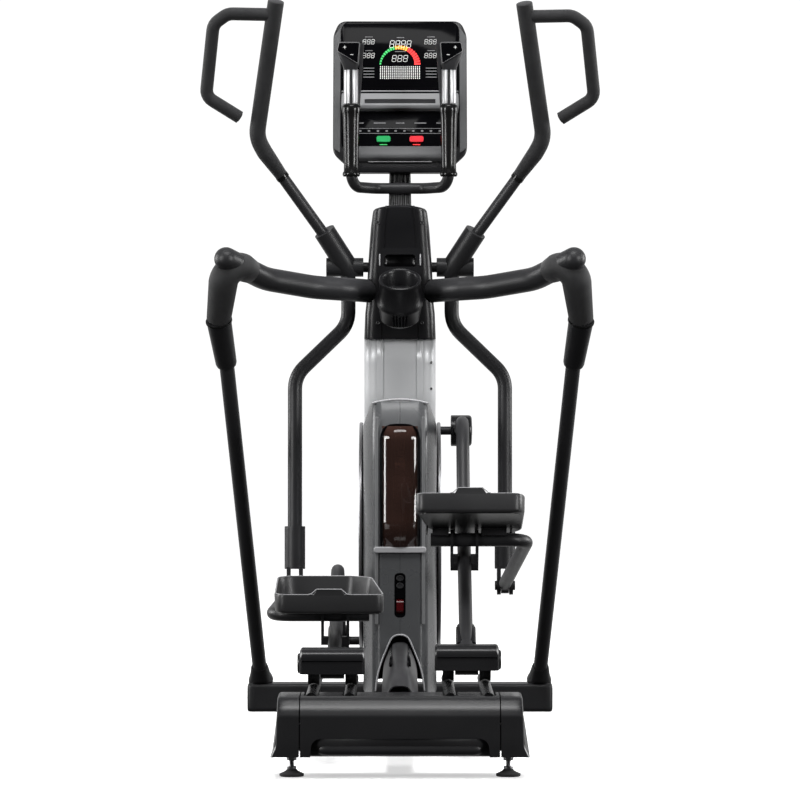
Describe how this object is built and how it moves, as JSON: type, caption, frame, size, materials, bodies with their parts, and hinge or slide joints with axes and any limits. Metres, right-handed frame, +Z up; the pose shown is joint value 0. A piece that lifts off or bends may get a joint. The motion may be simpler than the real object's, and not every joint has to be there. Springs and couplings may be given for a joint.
{
  "type": "elliptical trainer",
  "caption": "Elliptical trainer with a front crank, swinging arms and two pedals whose rollers run on rear rails, with a console on a leaning mast.",
  "frame": {"origin": "on the floor, under the middle of the length and the width", "axes": "+X to the user's right, +Y forward, the way the user faces, +Z up; the pedals are at the rest phase, left crank pin down and right crank pin up"},
  "size_m": [0.9341, 1.92, 1.7048],
  "materials": {
    "black_paint": "gloss black powder coat",
    "bare_steel": "turned steel",
    "silver_paint": "satin silver paint",
    "cast_iron": "machined iron, copper tinted",
    "drive_plastic": "moulded nylon",
    "belt_rubber": "ribbed rubber belt",
    "brake_steel": "plain steel",
    "satin_plastic": "satin dark grey moulded plastic",
    "pedal_plastic": "fine textured dark grey plastic",
    "soft_grip": "matte foam rubber",
    "gloss_panel": "gloss black display panel",
    "chrome": "bright plated sensor plates",
    "key_head_plastic": "satin black plastic",
    "tinted_window": "brown tinted translucent plastic",
    "green_button": "green moulded key",
    "red_button": "red moulded key",
    "red_rocker": "dark red rocker",
    "foot_rubber": "black rubber"
  },
  "bodies": {
    "frame": {"base_frame": "black_paint", "brake_magnet": "brake_steel", "console_back": "satin_plastic", "console_bezel": "satin_plastic", "console_screen": "gloss_panel", "console_stem": "satin_plastic", "crank_bearings": "bare_steel", "crossbar_caps": "satin_plastic", "cup_holder": "satin_plastic", "drive_belt": "belt_rubber", "elbow_grips": "soft_grip", "flywheel_axle": "bare_steel", "front_crossbar": "black_paint", "key_panel": "gloss_panel", "mast": "black_paint", "mast_cover": "silver_paint", "pivot_axle": "bare_steel", "pulse_bar": "black_paint", "pulse_grips": "soft_grip", "pulse_heads": "key_head_plastic", "pulse_sensors": "chrome", "rear_cover": "satin_plastic", "rear_cover_ends": "satin_plastic", "rear_handle": "black_paint", "shroud_left": "satin_plastic", "shroud_right": "satin_plastic", "shroud_window": "tinted_window", "side_frame_left": "black_paint", "side_frame_right": "black_paint", "spine_cover": "satin_plastic", "switch_panel": "satin_plastic", "track_rails": "bare_steel", "upper_housing": "satin_plastic"},
    "crank": {"crank_axle": "bare_steel", "crank_discs": "silver_paint", "drive_pulley": "drive_plastic"},
    "flywheel": {"flywheel": "cast_iron"},
    "start_button": {"start_button": "green_button"},
    "stop_button": {"stop_button": "red_button"},
    "power_rocker": {"power_rocker": "red_rocker"},
    "rear_foot_left": {"rear_foot_left": "foot_rubber"},
    "rear_foot_right": {"rear_foot_right": "foot_rubber"},
    "swing_arm_left": {"swing_arm_left": "black_paint", "swing_grip_left": "soft_grip"},
    "carriage_left": {"roller_axle_left": "bare_steel"},
    "rollers_left": {"rollers_left": "drive_plastic"},
    "pedal_arm_left": {"pedal_arm_left": "black_paint", "joint_cover_left": "satin_plastic", "roller_cover_left": "satin_plastic"},
    "foot_link_left": {"foot_link_left": "black_paint", "pedal_left": "pedal_plastic"},
    "swing_arm_right": {"swing_arm_right": "black_paint", "swing_grip_right": "soft_grip"},
    "carriage_right": {"roller_axle_right": "bare_steel"},
    "rollers_right": {"rollers_right": "drive_plastic"},
    "pedal_arm_right": {"pedal_arm_right": "black_paint", "joint_cover_right": "satin_plastic", "roller_cover_right": "satin_plastic"},
    "foot_link_right": {"foot_link_right": "black_paint", "pedal_right": "pedal_plastic"}
  },
  "joints": [
    {"name": "crank_spin", "type": "hinge", "parent": "frame", "child": "crank", "pos_m": [0, 0.47, 0.45], "axis": [1, 0, 0], "continuous": true},
    {"name": "flywheel_spin", "type": "hinge", "parent": "frame", "child": "flywheel", "pos_m": [0, 0.23, 0.57], "axis": [1, 0, 0], "continuous": true},
    {"name": "swing_right", "type": "hinge", "parent": "frame", "child": "swing_arm_right", "pos_m": [0, 0.44, 1.088], "axis": [1, 0, 0], "range_deg": [0, 17.39]},
    {"name": "swing_left", "type": "hinge", "parent": "frame", "child": "swing_arm_left", "pos_m": [0, 0.44, 1.088], "axis": [1, 0, 0], "range_deg": [-19.74, 0]},
    {"name": "track_right", "type": "slide", "parent": "frame", "child": "carriage_right", "axis": [0, 1, 0], "range_m": [0, 0.15908]},
    {"name": "arm_pitch_right", "type": "hinge", "parent": "carriage_right", "child": "pedal_arm_right", "pos_m": [0.143, -0.5098, 0.2], "axis": [1, 0, 0], "range_deg": [-13.95, 0]},
    {"name": "foot_pivot_right", "type": "hinge", "parent": "pedal_arm_right", "child": "foot_link_right", "pos_m": [0.143, -0.21187, 0.46318], "axis": [1, 0, 0], "range_deg": [0, 23.77]},
    {"name": "rollers_right", "type": "hinge", "parent": "carriage_right", "child": "rollers_right", "pos_m": [0.143, -0.5098, 0.2], "axis": [1, 0, 0], "range_deg": [-341.3, 0]},
    {"name": "track_left", "type": "slide", "parent": "frame", "child": "carriage_left", "axis": [0, 1, 0], "range_m": [-0.22171, 0]},
    {"name": "arm_pitch_left", "type": "hinge", "parent": "carriage_left", "child": "pedal_arm_left", "pos_m": [-0.143, -0.63, 0.2], "axis": [1, 0, 0], "range_deg": [0, 13.19]},
    {"name": "foot_pivot_left", "type": "hinge", "parent": "pedal_arm_left", "child": "foot_link_left", "pos_m": [-0.143, -0.245, 0.299], "axis": [1, 0, 0], "range_deg": [-15.97, 0]},
    {"name": "rollers_left", "type": "hinge", "parent": "carriage_left", "child": "rollers_left", "pos_m": [-0.143, -0.63, 0.2], "axis": [1, 0, 0], "range_deg": [0, 475.71]},
    {"name": "start_button_press", "type": "slide", "parent": "frame", "child": "start_button", "axis": [0, 0.9659, -0.2588], "range_m": [0, 0.0015], "stiffness_N_per_m": 400},
    {"name": "stop_button_press", "type": "slide", "parent": "frame", "child": "stop_button", "axis": [0, 0.9659, -0.2588], "range_m": [0, 0.0015], "stiffness_N_per_m": 400},
    {"name": "power_rocker_tilt", "type": "hinge", "parent": "frame", "child": "power_rocker", "pos_m": [0, 0.078, 0.302], "axis": [1, 0, 0], "range_deg": [0, 12]},
    {"name": "rear_foot_left_turn", "type": "hinge", "parent": "frame", "child": "rear_foot_left", "pos_m": [-0.2225, -0.885, 0], "axis": [0, 0, 1], "continuous": true},
    {"name": "rear_foot_right_turn", "type": "hinge", "parent": "frame", "child": "rear_foot_right", "pos_m": [0.2225, -0.885, 0], "axis": [0, 0, 1], "continuous": true}
  ],
  "couplings": [
    {"joint": "flywheel_spin", "follows": "crank_spin", "ratio": 6},
    {"joint": "swing_left", "follows": "swing_right", "ratio": -1.1328},
    {"joint": "track_right", "follows": "swing_right", "m_per_rad": 0.52264},
    {"joint": "arm_pitch_right", "follows": "swing_right", "ratio": -0.79949},
    {"joint": "foot_pivot_right", "follows": "swing_right", "ratio": 1.3646},
    {"joint": "rollers_right", "follows": "swing_right", "ratio": -19.574},
    {"joint": "track_left", "follows": "swing_right", "m_per_rad": -0.72906},
    {"joint": "arm_pitch_left", "follows": "swing_right", "ratio": 0.75563},
    {"joint": "foot_pivot_left", "follows": "swing_right", "ratio": -0.91563},
    {"joint": "rollers_left", "follows": "swing_right", "ratio": 27.305}
  ]
}
